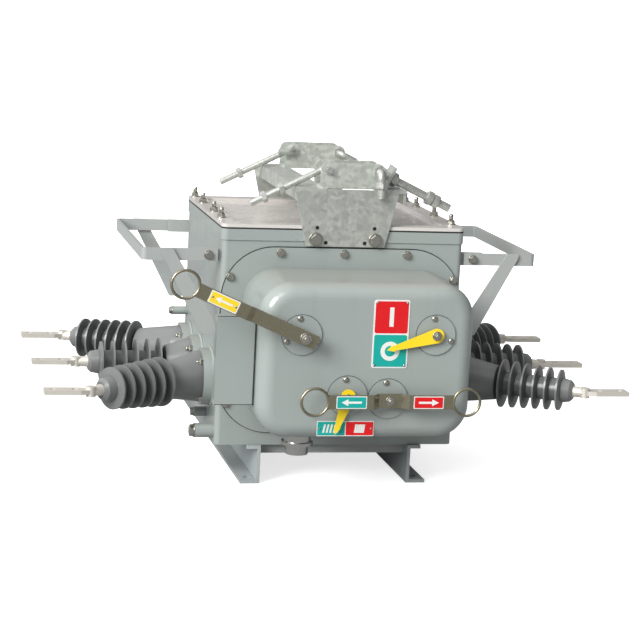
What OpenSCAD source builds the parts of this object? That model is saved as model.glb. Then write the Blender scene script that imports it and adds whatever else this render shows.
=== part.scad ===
// Outdoor vacuum circuit breaker for a pole: a welded steel tank with six fanned bushings,
// a mechanism cover with hand levers on the front and a galvanised hanging frame on top.
// The origin is on the floor, at the centre of the four foot bolts. The front faces -Y.

/* [Tank] */
// Width of the tank over its side walls
tank_w = 446; // [420:1:470]
// Depth of the tank over its front and back walls
tank_d = 401; // [385:1:440]
// Height of the tank from its floor to the top of its rim
tank_h = 396; // [392:1:420]
// Thickness of the tank's sheet
tank_wall = 4; // [3:0.5:6]
// Radius of the tank's upright edges
tank_edge_r = 10; // [6:1:14]
// Height of the rim band round the mouth of the tank
rim_h = 20; // [12:1:24]
// How far the rim band stands out of the wall
rim_proud = 2; // [1:0.5:4]
// Width of the inner flange that takes the lid's studs
rim_flange_w = 17.5; // [14:0.5:18]

/* [Lid] */
// Thickness of the gasket under the lid
gasket_t = 3; // [2:0.5:6]
// Thickness of the lid's sheet
lid_t = 6; // [4:0.5:8]
// Width of the flat bolting strip round the lid
lid_strip_w = 25; // [25:1:40]
// How far the middle of the lid is pressed down
lid_dish = 6; // [3:0.5:9]
// Corner radius of the pressed middle
lid_dish_r = 22; // [20:1:40]

/* [Mechanism cover] */
// Width of the cover's dome
cover_w = 385; // [380:1:400]
// Height of the cover's dome
cover_h = 275; // [265:1:290]
// Depth of the dome in front of its flange
cover_depth = 178; // [160:1:200]
// Corner radius of the dome seen from the front
cover_corner_r = 60; // [58:1:70]
// Radius of the rounded front edge
cover_edge_r = 28; // [15:1:28]
// Sideways set of the dome on its flange
cover_set = 10; // [-12:1:12]
// How far the dome sits below the middle of the flange
cover_drop = 4; // [0:1:8]
// Width of the sheet flange that bolts to the tank
cover_flange_w = 443; // [430:1:445]
// Distance from the tank's rim down to the flange
cover_top_gap = 32; // [31:1:50]
// Distance from the tank's floor up to the flange
cover_bottom_gap = 24; // [20:1:45]
// Corner radius of the flange
cover_flange_r = 95; // [60:1:105]
// Thickness of the flange
cover_flange_t = 4; // [2:0.5:6]

/* [Shafts on the cover] */
// Radius of the round plate behind each shaft
pivot_plate_r = 35; // [28:0.5:35]
// Thickness of those plates
pivot_plate_t = 3; // [2:0.5:4]
// Place of the charging shaft from the centre line
charging_x = -110; // [-118:1:-102]
// Height of the charging shaft over the cover's centre
charging_shaft_rise = 45; // [37:1:53]
// Place of the position pointer's shaft
position_x = 129; // [122:1:129]
// Height of the position pointer's shaft over the cover's centre
position_shaft_rise = 47; // [39:1:53]
// Place of the charge pointer's shaft
charge_x = -24; // [-32:1:-23]
// Height of the charge pointer's shaft over the cover's centre
charge_shaft_rise = -62; // [-67:1:-57]
// Place of the trip shaft
trip_x = 48.5; // [48:0.5:54]
// Height of the trip shaft over the cover's centre
trip_shaft_rise = -67; // [-71:1:-61]
// Radius of the lever shafts
lever_shaft_r = 10; // [7:0.5:12]
// Radius of the pointer shafts
pointer_shaft_r = 5; // [3:0.5:8]
// Radial clearance of a shaft in its bore
shaft_clear = 0.05; // [0.02:0.01:0.1]
// Depth to which a shaft runs inside the cover
shaft_depth = 26; // [15:1:40]

/* [Levers] */
// Width of the flat lever strips
lever_w = 25; // [18:1:30]
// Thickness of the lever strips
lever_t = 4; // [2.5:0.5:5]
// Length of the charging lever from its shaft to its ring
charging_len = 231; // [200:1:250]
// Rise of the charging lever at rest
charging_rise = 23.5; // [15:0.5:30]
// Distance of the charging lever's hub from the face of the cover
charging_stand = 31; // [28:1:40]
// Distance from the charging shaft to the step in its lever
charging_bend_at = 100; // [60:1:140]
// How far the charging lever steps out
charging_step = 8; // [3:1:14]
// How far the charging lever runs past its shaft
charging_tail = 22; // [15:1:26]
// Length of each trip lever arm from its shaft to its ring
trip_len = 136; // [125:1:145]
// Distance of the trip lever's hub from the face of the cover
trip_stand = 16; // [15.5:0.5:20]
// Distance from the trip shaft to the step in each arm
trip_bend_at = 20; // [16:1:40]
// How far the arms of the trip lever step out
trip_step = 12; // [6:1:13]
// Length of a step measured along its lever
step_run = 12; // [8:1:20]
// Radius of a pull ring at the middle of its wire
ring_r = 24; // [20:0.5:27]
// Radius of the pull ring's wire
ring_wire_r = 2.5; // [2.25:0.25:3.5]

/* [Pointers] */
// Length of the position pointer
position_len = 92; // [75:1:95]
// Droop of the position pointer at rest
position_droop = 16.5; // [8:0.5:20]
// Length of the charge pointer
charge_len = 70; // [60:1:74]
// Lean of the charge pointer from straight down at rest
charge_lean = 17.5; // [8:0.5:20]
// Distance of the pointers from the face of the cover
pointer_stand = 8.5; // [8:0.5:9]
// Radius of a pointer's hub
pointer_hub_r = 13; // [10:0.5:15]
// Thickness of the pointers
pointer_t = 2; // [1.5:0.5:2]

/* [Side plate] */
// Width of the bare plate beside the cover
side_plate_w = 70; // [55:1:75]
// Height of the bare plate
side_plate_h = 157; // [130:1:160]
// Depth of the plate's folded edges
side_plate_d = 20; // [10:1:25]
// Thickness of its sheet
side_plate_t = 2.5; // [1.5:0.5:4]
// Height of the plate's centre
side_plate_z = 257; // [252:0.5:272]
// Distance of the plate's face behind the face of the cover
side_plate_back = 34.5; // [30:0.5:60]

/* [Bushings] */
// Gap between neighbouring bushing seats
seat_gap = 24; // [20:1:28]
// Gap between the outer seats and the arms of the handles
brace_gap = 7.5; // [5:0.5:12]
// Angle by which the outer bushings fan out
bushing_fan = 32; // [25:0.5:35]
// Height of the bushings' axes
bushing_z = 183; // [176:1:195]
// Width of the ring of a seat that is left round the bushing's foot
seat_rim = 5; // [4:0.5:14]
// Thickness of the seats
seat_t = 20; // [12:1:26]
// Radius of the cone where the sheds begin
bushing_neck_r = 32; // [25:0.5:35]
// Length of the middle bushings' cones
middle_cone = 47; // [40:1:60]
// Length of the outer bushings' cones
outer_cone = 85; // [70:1:95]
// Number of sheds
shed_count = 6; // [4:1:6]
// Distance between sheds
shed_pitch = 21.8; // [16:0.2:22]
// Radius of the shed nearest the wall
shed_in_r = 45; // [40:0.5:46]
// Radius of the outermost shed
shed_out_r = 38; // [34:0.5:42]
// Radius of the core between the sheds
core_r = 21.5; // [18:0.5:24]
// Length of the plain nose
nose_len = 25; // [18:1:32]

/* [Terminals] */
// Radius of the round ferrule
ferrule_r = 10.5; // [9:0.5:11.5]
// Length of the ferrule in front of the nose
ferrule_len = 22; // [18:1:30]
// Radius of the knuckle between the ferrule and the bar
knuckle_r = 9; // [8.5:0.5:12]
// Length over which the bar widens from the knuckle
bar_flare = 18; // [12:1:20]
// Width of the flat terminal bar
bar_w = 30; // [28:1:36]
// Thickness of the flat terminal bar
bar_t = 8; // [6:0.5:10]
// Length of the bar from the knuckle to its tip
bar_len = 82; // [78:1:95]
// Distance between the two holes
bar_hole_pitch = 39; // [30:1:42]
// Distance from the outer hole to the tip
bar_hole_edge = 15; // [13:1:18]
// Radius of the holes
bar_hole_r = 6; // [4:0.5:7]

/* [Hanging frame] */
// Half width of the hanger plates at the top
hanger_top_half = 95.5; // [85:0.5:101]
// Half width of the hanger plates at the foot
hanger_foot_half = 73; // [65:1:85]
// Height of the rim over the lower edge of the hanger plates
hanger_foot_drop = 28; // [22:1:30]
// Thickness of the hanger plates and rails
hanger_t = 5; // [4:0.5:6]
// Height of the hanger plates over the tank's rim
hanger_rise = 70.5; // [60:0.5:90]
// Half width of the notch in the back plate
notch_half = 35; // [20:1:42]
// Height of the notch's floor over the tank's rim
notch_rise = 15; // [12:1:40]
// Width of the rails along the tank
rail_w = 50; // [42:1:52]
// Height of the rails' outer flanges
rail_h = 25; // [16:1:32]
// Distance from the centre line to the outer face of the rails
rail_x = 98; // [96:0.5:101]
// Width of the channels across the rails
channel_w = 118; // [116:1:140]
// Depth of the channels over their webs
channel_d = 60; // [54:1:66]
// Height of the channels' webs
channel_h = 46; // [46:1:56]
// Thickness of the channels
channel_t = 5; // [4:0.5:6]
// Radius of the webs' upper corners
channel_r = 12; // [6:1:14]
// Distance of the middle of the channels from the tank's front and back walls
channel_inset = 38; // [36:0.5:50]
// Sideways set of the rails, channels and hook bolts on the hanger plates
frame_set = 12; // [-8:0.5:14]
// Distance between the two hook bolt holes of a channel
hook_pitch = 92; // [90:1:96]
// Height of the hook bolt holes over the rails
hook_rise = 33; // [32:0.5:33]

/* [Hook bolts] */
// Radius of three of the hook bolts
hook_r = 6; // [5:0.25:6]
// Radius of the front right hook bolt
stout_hook_r = 7.5; // [6.5:0.25:7.5]
// Radial clearance of a hook bolt in its hole
hook_clear = 0.5; // [0.3:0.1:0.9]
// Length of a hook bolt's leg from its hole
hook_len = 150; // [130:1:160]
// Length of the front right hook bolt's leg
stout_hook_len = 160; // [130:1:170]
// Gap between a leg at rest and the rail's edge
hook_rest_gap = 0.4; // [0.3:0.1:1]
// Radius of the bends at the middle of the bar
hook_bend_r = 11; // [9:0.5:13]
// Length of the turned end of the front right hook bolt
stout_end = 46; // [25:1:50]
// Length of the turned end of the back left hook bolt
back_left_end = 30; // [20:1:40]
// Length of the turned end of the back right hook bolt
back_right_end = 36; // [20:1:40]

/* [Carrying handles] */
// Distance of the handle's outer bar from the centre line
handle_x = 366; // [350:1:380]
// Height of the lower edge of the handle bars over the tank's floor
handle_rise = 336; // [325:1:340]
// Height of the flat handle bar
handle_bar_h = 22; // [18:1:28]
// Thickness of the flat handle bar
handle_bar_t = 5; // [4:0.5:8]
// Distance of an arm's outer face behind the tank's front
handle_inset = 8; // [7.5:0.5:14]
// Gap between the end of an arm and the rim
handle_gap = 4; // [3:0.5:8]
// Outer bend radius of the handle
handle_bend_r = 9; // [8.5:0.5:14]
// How far the lugs stand out of the wall
lug_len = 42; // [34:1:46]
// Thickness of the lugs
lug_t = 6; // [4:0.5:8]
// Distance from the tank wall to the inner edge of a brace under the handle
brace_run = 75; // [60:1:85]
// Width of a brace where it crosses the handle
brace_w = 21; // [14:1:26]
// Width of a brace's foot at the wall
brace_foot_w = 33; // [25:1:40]
// Height of a brace's foot over the tank's floor
brace_foot_rise = 206; // [195:1:240]

/* [Feet and fittings] */
// Length of the feet
foot_len = 419; // [402:1:440]
// Height of the feet under the tank
foot_h = 71; // [60:1:85]
// Distance from the centre line to the inner face of a foot's web
foot_x = 138; // [120:1:145]
// Width of a foot's lower flange
foot_flange_w = 36; // [33:1:45]
// Width of a foot's upper flange
foot_top_w = 25; // [18:1:30]
// Thickness of the feet
foot_t = 6; // [4:0.5:8]
// Radius of the foot bolt holes
foot_hole_r = 7; // [5:0.5:8]
// Distance of a foot bolt hole from the inner face of the web
foot_hole_in = 18.5; // [17:0.5:22]
// Distance between the foot bolt holes along a foot
foot_hole_pitch = 365; // [340:1:375]
// Height of the cross bars under the tank
cross_h = 20; // [15:1:30]
// Depth of the cross bars
cross_d = 40; // [25:1:50]
// Distance of the cross bars from the middle of the tank
cross_y = 162; // [120:1:170]
// Place of the cable gland from the centre line
gland_x = -92; // [-105:1:-80]
// Distance of the gland behind the face of the cover
gland_back = 80; // [65:1:100]
// Radius of the gland's tube
gland_r = 20; // [18:0.5:22]
// Radius of the gland's bore
gland_bore_r = 16; // [11:0.5:16]
// Radius of the gland's flange
gland_flange_r = 28.5; // [27:0.5:34]
// Length of the gland under the cover
gland_len = 43; // [40:1:52]
// Radius of the lower earth boss
earth_r = 13; // [10:0.5:15]
// Length of the lower earth boss
earth_len = 34; // [20:1:40]

/* [Hidden] */
$fn = 64;
eps = 0.5;
tank_z = foot_h;
rim_z = tank_z + tank_h;
rim_w = tank_w + 2 * rim_proud;
rim_d = tank_d + 2 * rim_proud;
rim_r = tank_edge_r + rim_proud;
wall_x = tank_w / 2;
front_y = -tank_d / 2;
rim_front_y = -rim_d / 2;
mouth_w = tank_w - 2 * tank_wall - 2 * rim_flange_w;
mouth_d = tank_d - 2 * tank_wall - 2 * rim_flange_w;
mouth_r = 20;
rim_flange_t = 8;
lid_z = rim_z + gasket_t;
flange_face_y = front_y - cover_flange_t;
cover_flange_h = tank_h - cover_top_gap - cover_bottom_gap;
cover_z = tank_z + cover_bottom_gap + cover_flange_h / 2;
dome_z = cover_z - cover_drop;
charging_z = cover_z + charging_shaft_rise;
position_z = cover_z + position_shaft_rise;
charge_z = cover_z + charge_shaft_rise;
trip_z = cover_z + trip_shaft_rise;
cover_face_y = flange_face_y - cover_depth;
plate_face_y = cover_face_y - pivot_plate_t;
gland_y = cover_face_y + gland_back;
gland_flange_t = 6;
earth_gap = 18;
brace_seam = 6;
wall_fit = 0.05;
gland_neck = 20;
shed_lead = 11;
shed_root_half = 5;
shed_rim_half = 1.6;
nose_round = 5;
nose_swell = 1.5;
hanger_plate_y = rim_front_y - hanger_t;
hanger_top_z = rim_z + hanger_rise;
rail_top_z = hanger_top_z + hanger_t;
hook_z = rail_top_z + hook_rise;
channel_y = tank_d / 2 - channel_inset;
web_to_leg = channel_d / 2;
nut_h = 7;
nut_grip = 2.5;
handle_z = tank_z + handle_rise;
handle_arm_y = tank_d / 2 - handle_inset;
seat_r = (handle_arm_y - handle_bar_t - brace_gap - seat_gap) / 3;
bushing_pitch = 2 * seat_r + seat_gap;
bushing_foot_r = seat_r - seat_rim;

// A rectangle with round corners, centred on the origin
module round_rect(w, h, r) {
    square([w - 2 * r, h], center = true);
    square([w, h - 2 * r], center = true);
    for (sx = [-1, 1], sy = [-1, 1])
        translate([sx * (w / 2 - r), sy * (h / 2 - r)]) circle(r);
}

// A slab with round corners that lies on z
module round_slab(w, d, r, z, h) {
    translate([0, 0, z]) linear_extrude(h) round_rect(w, d, r);
}

// Stands a drawing upright, with its thickness running back from y
module upright(y, t) {
    translate([0, y + t, 0]) rotate([90, 0, 0]) linear_extrude(t) children();
}

// A round bar along X from x0 to x1
module bar_x(x0, x1, r) {
    translate([x0, 0, 0]) rotate([0, 90, 0]) cylinder(r = r, h = x1 - x0);
}

// A round bar along Y from y0 to y1
module bar_y(y0, y1, r) {
    translate([0, y1, 0]) rotate([90, 0, 0]) cylinder(r = r, h = y1 - y0);
}

// Draws its children and their mirror image on the left
module both_sides() {
    children();
    mirror([1, 0, 0]) children();
}

// Draws its children and their mirror image at the back
module both_ends() {
    children();
    mirror([0, 1, 0]) children();
}

module tank() {
    color("#a3b0af") difference() {
        union() {
            round_slab(tank_w, tank_d, tank_edge_r, tank_z, tank_h);
            round_slab(rim_w, rim_d, rim_r, rim_z - rim_h, rim_h);
        }
        round_slab(
            tank_w - 2 * tank_wall, tank_d - 2 * tank_wall, tank_edge_r - tank_wall / 2,
            tank_z + tank_wall, tank_h - tank_wall - rim_flange_t
        );
        round_slab(mouth_w, mouth_d, mouth_r, rim_z - rim_flange_t - eps, rim_flange_t + 2 * eps);
    }
}

module lid_gasket() {
    color("#1c1c1c") difference() {
        round_slab(rim_w, rim_d, rim_r, rim_z, gasket_t);
        round_slab(mouth_w, mouth_d, mouth_r, rim_z - eps, gasket_t + 2 * eps);
    }
}

// A sheet lid with a flat strip on the gasket and its middle pressed down
module lid() {
    dish_w = rim_w - 2 * lid_strip_w;
    dish_d = rim_d - 2 * lid_strip_w;
    color("#aab3b2") difference() {
        union() {
            round_slab(rim_w, rim_d, rim_r, lid_z, lid_t);
            round_slab(dish_w, dish_d, lid_dish_r, lid_z - lid_dish, lid_dish + lid_t / 2);
        }
        round_slab(
            dish_w - 2 * lid_t, dish_d - 2 * lid_t, lid_dish_r - lid_t,
            lid_z - lid_dish + lid_t, lid_dish + eps
        );
    }
}

// The dome: a deep slab, its front face and the rounded edge that joins them
module cover_dome() {
    side_y = cover_face_y + cover_edge_r;
    in_w = cover_w / 2 - cover_edge_r;
    in_h = cover_h / 2 - cover_edge_r;
    corner_in = cover_corner_r - cover_edge_r;
    corner_x = cover_w / 2 - cover_corner_r;
    corner_z = cover_h / 2 - cover_corner_r;
    upright(side_y, flange_face_y - side_y) round_rect(cover_w, cover_h, cover_corner_r);
    upright(cover_face_y, cover_edge_r + eps) round_rect(2 * in_w, 2 * in_h, corner_in);
    for (s = [-1, 1]) {
        translate([0, side_y, s * in_h]) bar_x(-corner_x, corner_x, cover_edge_r);
        translate([s * in_w, side_y, -corner_z]) cylinder(r = cover_edge_r, h = 2 * corner_z);
    }
    for (sx = [-1, 1], sz = [-1, 1])
        translate([sx * corner_x, side_y, sz * corner_z])
            rotate([90, 0, 0]) rotate_extrude() translate([corner_in, 0]) circle(cover_edge_r);
}

// Each shaft: its place, its height and its radius
shafts = [
    [charging_x, charging_z, lever_shaft_r],
    [trip_x, trip_z, lever_shaft_r],
    [position_x, position_z, pointer_shaft_r],
    [charge_x, charge_z, pointer_shaft_r]
];

// The bores for the shafts, from in front of the plates into the cover
module shaft_bores() {
    for (s = shafts)
        translate([s[0], 0, s[1]])
            bar_y(plate_face_y - eps, cover_face_y + shaft_depth + 1, s[2] + shaft_clear);
}

module mechanism_cover() {
    color("#a6b3b2") difference() {
        union() {
            translate([0, 0, cover_z]) upright(flange_face_y, cover_flange_t)
                round_rect(cover_flange_w, cover_flange_h, cover_flange_r);
            translate([cover_set, 0, dome_z]) cover_dome();
        }
        shaft_bores();
    }
}

module pivot_plates() {
    color("#9fadac") difference() {
        for (s = shafts)
            translate([s[0], 0, s[1]]) bar_y(plate_face_y, cover_face_y, pivot_plate_r);
        shaft_bores();
    }
}

// One arm of a lever along +X, stepped out in front of its hub, with its pull ring
module lever_arm(len, hub_y, bend_at, step) {
    end = len - ring_r;
    arm_y = hub_y - step;
    bend_to = bend_at + step_run;
    translate([0, 0, -lever_w / 2]) linear_extrude(lever_w) polygon([
        [-eps, hub_y], [bend_at, hub_y], [bend_to, arm_y], [end, arm_y],
        [end, arm_y - lever_t], [bend_to, arm_y - lever_t],
        [bend_at, hub_y - lever_t], [-eps, hub_y - lever_t]
    ]);
    translate([len, arm_y - lever_t / 2, 0])
        rotate([90, 0, 0]) rotate_extrude() translate([ring_r, 0]) circle(ring_wire_r);
}

// The shaft of a lever, from its hub into the cover
module lever_shaft(hub_y) {
    bar_y(hub_y - lever_t / 2, cover_face_y + shaft_depth, lever_shaft_r);
}

module charging_lever() {
    hub_y = cover_face_y - charging_stand;
    color("#8d8b84") translate([charging_x, 0, charging_z]) rotate([0, 180 + charging_rise, 0]) {
        lever_arm(charging_len, hub_y, charging_bend_at, charging_step);
        translate([-charging_tail, hub_y - lever_t, -lever_w / 2]) cube([charging_tail, lever_t, lever_w]);
        lever_shaft(hub_y);
    }
}

module trip_lever() {
    hub_y = cover_face_y - trip_stand;
    color("#a19d94") translate([trip_x, 0, trip_z]) {
        both_sides() lever_arm(trip_len, hub_y, trip_bend_at, trip_step);
        lever_shaft(hub_y);
    }
}

// A pointer along +X with a round hub and an arrow tip, on its shaft
module pointer(len) {
    back_y = cover_face_y - pointer_stand;
    neck = len - 12;
    upright(back_y - pointer_t, pointer_t) {
        circle(pointer_hub_r);
        polygon([
            [0, -pointer_hub_r], [neck, -4], [neck - 3, -7], [len, 0],
            [neck - 3, 7], [neck, 4], [0, pointer_hub_r]
        ]);
    }
    bar_y(back_y - pointer_t / 2, cover_face_y + shaft_depth, pointer_shaft_r);
}

module position_pointer() {
    color("#f2c512") translate([position_x, 0, position_z])
        rotate([0, 180 - position_droop, 0]) pointer(position_len);
}

module charge_pointer() {
    color("#f2c512") translate([charge_x, 0, charge_z])
        rotate([0, 90 + charge_lean, 0]) pointer(charge_len);
}

// A bare plate on the cover's flank, with all four edges folded back
module side_plate() {
    face_y = cover_face_y + side_plate_back;
    left_x = cover_set - cover_w / 2 - side_plate_w;
    color("#a9b5b4") translate([left_x, face_y, side_plate_z - side_plate_h / 2]) difference() {
        cube([side_plate_w, side_plate_d, side_plate_h]);
        translate([side_plate_t, side_plate_t, side_plate_t])
            cube([side_plate_w - 2 * side_plate_t, side_plate_d, side_plate_h - 2 * side_plate_t]);
    }
}

// Three seats on the right wall
module bushing_seats() {
    color("#a3b0af") for (row = [-1, 0, 1])
        translate([0, row * bushing_pitch, bushing_z]) bar_x(wall_x, wall_x + seat_t, seat_r);
}

// The length of a bushing from its seat to the end of its nose
function nose_end(row) = bushing_cone(row) + shed_lead + (shed_count - 1) * shed_pitch + nose_len;
function bushing_cone(row) = row == 0 ? middle_cone : outer_cone;

// The outline of a bushing turned round its axis, from behind the seat to the nose
module bushing_body(row) {
    cone = bushing_cone(row);
    stack = cone + shed_lead;
    end = nose_end(row);
    sheds = [
        for (i = [0 : shed_count - 1])
            let (s = stack + i * shed_pitch)
            let (rim = shed_in_r + (shed_out_r - shed_in_r) * i / (shed_count - 1))
            each [
                [core_r, s - shed_root_half], [rim, s - shed_rim_half],
                [rim, s + shed_rim_half], [core_r, s + shed_root_half]
            ]
    ];
    rotate_extrude() polygon(concat(
        [[0, -bushing_foot_r], [bushing_foot_r, -bushing_foot_r], [bushing_foot_r, 0], [bushing_neck_r, cone]],
        sheds,
        [
            [core_r + nose_swell, end - nose_len * 0.8], [core_r - nose_swell, end - nose_round],
            [core_r - nose_swell - nose_round, end], [0, end]
        ]
    ));
}

// Lays +Z along a bushing on the right side: row is -1 front, 0 middle or 1 back
module at_bushing(row) {
    translate([wall_x + seat_t, row * bushing_pitch, bushing_z])
        rotate([0, 0, row * bushing_fan]) rotate([0, 90, 0]) children();
}

// A bushing on the right side, cut off flat where it meets its seat
module bushing(row) {
    room = 2 * nose_end(row);
    color("#6f716f") intersection() {
        at_bushing(row) bushing_body(row);
        translate([wall_x + seat_t, row * bushing_pitch - room / 2, bushing_z - bushing_foot_r * 1.5])
            cube([room, room, bushing_foot_r * 3]);
    }
}

// A terminal on the right side: the ferrule, its knuckle and the flat bar along X
module terminal(row) {
    turn = row * bushing_fan;
    reach = nose_end(row) + ferrule_len;
    knuckle_x = wall_x + seat_t + reach * cos(turn);
    knuckle_y = row * bushing_pitch + reach * sin(turn);
    color("#b9b4a6") difference() {
        union() {
            at_bushing(row) translate([0, 0, nose_end(row)])
                cylinder(r1 = ferrule_r, r2 = knuckle_r - 1, h = ferrule_len);
            translate([knuckle_x, knuckle_y, bushing_z]) {
                cylinder(r = knuckle_r, h = 2 * knuckle_r, center = true);
                linear_extrude(bar_t, center = true) polygon([
                    [0, -knuckle_r + 1], [bar_flare, -bar_w / 2], [bar_len, -bar_w / 2],
                    [bar_len, bar_w / 2], [bar_flare, bar_w / 2], [0, knuckle_r - 1]
                ]);
            }
        }
        for (i = [0, 1])
            translate([knuckle_x + bar_len - bar_hole_edge - i * bar_hole_pitch, knuckle_y, bushing_z])
                cylinder(r = bar_hole_r, h = bar_t + 2, center = true);
    }
}

// A tapered plate that stands on the tank's rim and carries the rails
module hanger_plate() {
    foot_z = rim_z - hanger_foot_drop;
    upright(hanger_plate_y, hanger_t) polygon([
        [-hanger_foot_half, foot_z], [hanger_foot_half, foot_z],
        [hanger_top_half, hanger_top_z], [-hanger_top_half, hanger_top_z]
    ]);
}

// The front plate stands up between the rails, to the floor of the channel
module front_hanger_plate() {
    between = rail_x - rail_w;
    color("#b4bab4") {
        hanger_plate();
        on_frame() upright(hanger_plate_y, hanger_t)
            translate([-between, hanger_top_z - eps]) square([2 * between, hanger_t + eps]);
    }
}

// The back plate has a round-bottomed notch at its top
module back_hanger_plate() {
    notch_z = rim_z + notch_rise + notch_half;
    color("#b4bab4") mirror([0, 1, 0]) difference() {
        hanger_plate();
        translate([0, 0, notch_z]) bar_y(hanger_plate_y - 1, hanger_plate_y + hanger_t + 1, notch_half);
        upright(hanger_plate_y - 1, hanger_t + 2)
            translate([-notch_half, notch_z]) square([2 * notch_half, hanger_rise]);
    }
}

// An angle along the right side of the frame: it lies on the hanger plates, and its flange is
// turned down between them
module hanger_rail() {
    inner_y = hanger_plate_y + hanger_t;
    color("#b4bab4") {
        translate([rail_x - rail_w, hanger_plate_y, hanger_top_z])
            cube([rail_w, -2 * hanger_plate_y, hanger_t]);
        translate([rail_x - hanger_t, inner_y, rail_top_z - rail_h])
            cube([hanger_t, -2 * inner_y, rail_h]);
    }
}

// A channel that stands open upwards on the rails, with a hook bolt hole at each end of its front web
module channel(y, left_r, right_r) {
    front = y - channel_d / 2;
    color("#bcc1bb") difference() {
        union() {
            translate([-channel_w / 2, front, rail_top_z]) cube([channel_w, channel_d, channel_t]);
            for (web_y = [front, front + channel_d - channel_t])
                upright(web_y, channel_t) translate([0, rail_top_z + channel_h / 2]) {
                    round_rect(channel_w, channel_h, channel_r);
                    translate([-channel_w / 2, -channel_h / 2]) square([channel_w, channel_h / 2]);
                }
        }
        translate([-hook_pitch / 2, 0, hook_z]) bar_y(front - 1, front + channel_t + 1, left_r + hook_clear);
        translate([hook_pitch / 2, 0, hook_z]) bar_y(front - 1, front + channel_t + 1, right_r + hook_clear);
    }
}

module front_channel() {
    channel(-channel_y, hook_r, stout_hook_r);
}

module back_channel() {
    channel(channel_y, hook_r, hook_r);
}

// The droop at which a leg of radius r rests just over the rail's outer edge
function hook_droop(r) =
    let (edge = [rail_x - hook_pitch / 2, hook_rise])
    atan2(edge[1], edge[0]) - asin((r + hook_rest_gap) / norm(edge));

// A quarter bend of round bar that leads from a bar along Y into a leg along +X
module hook_bend(r) {
    translate([hook_bend_r, -hook_bend_r, 0]) rotate([0, 0, 90])
        rotate_extrude(angle = 90) translate([hook_bend_r, 0]) circle(r);
}

// A hook bolt of the right side: the leg lies between the webs, a short bar runs forward through
// the front web and an end of that length hangs in front of it at the angle turn
module hook_bolt(y, r, len, stub, end, turn) {
    front = -web_to_leg - stub;
    color("#c9ccc8") translate([hook_pitch / 2, y, hook_z]) {
        rotate([0, hook_droop(r), 0]) {
            hook_bend(r);
            bar_x(hook_bend_r, len, r);
            bar_y(front, -hook_bend_r, r);
        }
        if (end > 0) {
            translate([0, front + nut_grip, 0]) rotate([90, 30, 0])
                cylinder(r = 1.75 * r, h = nut_h, $fn = 6);
            rotate([0, turn, 0]) translate([0, front - hook_bend_r, 0]) rotate([180, 0, 0]) {
                hook_bend(r);
                bar_x(hook_bend_r, end, r);
            }
        }
    }
}

// A carrying handle on the right side: one flat bar bent into a U
module handle() {
    inner_x = rim_w / 2 + handle_gap;
    color("#a3b0af") translate([0, 0, handle_z]) linear_extrude(handle_bar_h) difference() {
        intersection() {
            round_rect(2 * handle_x, 2 * handle_arm_y, handle_bend_r);
            translate([inner_x, -handle_arm_y]) square([handle_x, 2 * handle_arm_y]);
        }
        round_rect(
            2 * (handle_x - handle_bar_t), 2 * (handle_arm_y - handle_bar_t),
            handle_bend_r - handle_bar_t
        );
    }
}

// Flat lugs on the side walls, to which the arms of the handles bolt
module handle_lugs() {
    color("#9fadac") both_sides() both_ends()
        translate([wall_x, -handle_arm_y + handle_bar_t, handle_z - 1])
            cube([lug_len, lug_t, handle_bar_h + 2]);
}

// Flat braces that lie on the outside of the handle's arms and run down to the side walls
module handle_braces() {
    foot_z = tank_z + brace_foot_rise;
    top_z = handle_z + handle_bar_h;
    lean = brace_run / (handle_z - foot_z);
    top_x = wall_x + lean * (top_z - foot_z);
    sunk = tank_edge_r;
    color("#9aa8a7") both_sides() both_ends() difference() {
        upright(-handle_arm_y - handle_bar_t, handle_bar_t) polygon([
            [wall_x - sunk, foot_z], [wall_x + brace_foot_w, foot_z],
            [top_x + brace_w, top_z - brace_w / 3], [top_x + brace_w, top_z], [top_x, top_z],
            [wall_x, foot_z + brace_seam], [wall_x - sunk, foot_z + brace_seam]
        ]);
        round_slab(tank_w + 2 * wall_fit, tank_d + 2 * wall_fit, tank_edge_r + wall_fit, tank_z, tank_h);
    }
}

// A foot on the right side: a channel that opens outwards
module foot() {
    color("#98a5a4") difference() {
        upright(-foot_len / 2, foot_len) polygon([
            [foot_x, 0], [foot_x + foot_flange_w, 0], [foot_x + foot_flange_w, foot_t],
            [foot_x + foot_t, foot_t], [foot_x + foot_t, foot_h - foot_t],
            [foot_x + foot_top_w, foot_h - foot_t], [foot_x + foot_top_w, foot_h], [foot_x, foot_h]
        ]);
        both_ends() translate([foot_x + foot_hole_in, foot_hole_pitch / 2, -1])
            cylinder(r = foot_hole_r, h = foot_t + 2);
    }
}

module cross_bars() {
    color("#6f7a79") both_ends() translate([-foot_x, cross_y - cross_d / 2, foot_h - cross_h])
        cube([2 * foot_x, cross_d, cross_h]);
}

// The gland under the cover, bored from below for the control cable
module cable_gland() {
    top_z = dome_z - cover_h / 2;
    color("#c4c6c4") translate([gland_x, gland_y, top_z]) difference() {
        union() {
            translate([0, 0, -gland_len]) cylinder(r = gland_r, h = gland_len);
            translate([0, 0, -gland_neck - gland_flange_t]) cylinder(r = gland_flange_r, h = gland_flange_t);
            translate([0, 0, -gland_neck]) cylinder(r = gland_r + 4, h = gland_neck);
        }
        translate([0, 0, -gland_len - 1]) cylinder(r = gland_bore_r, h = gland_len - 9);
    }
}

// Earth bosses on the left wall: place along Y, height over the tank's floor, radius and length
earths = [
    [-178, 22, earth_r, earth_len],
    [-90, 37, 9, 22],
    [165, bushing_z - tank_z + seat_r + earth_gap, 8, 30]
];

module earth_bosses() {
    color("#a3b0af") for (e = earths)
        translate([-wall_x, e[0], tank_z + e[1]]) bar_x(-e[3], 0, e[2]);
}

// Sets a piece of the hanging frame sideways on the hanger plates
module on_frame() {
    translate([frame_set, 0, 0]) children();
}

// Turns a piece drawn for the right side to the left
module left() {
    mirror([1, 0, 0]) children();
}

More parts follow.
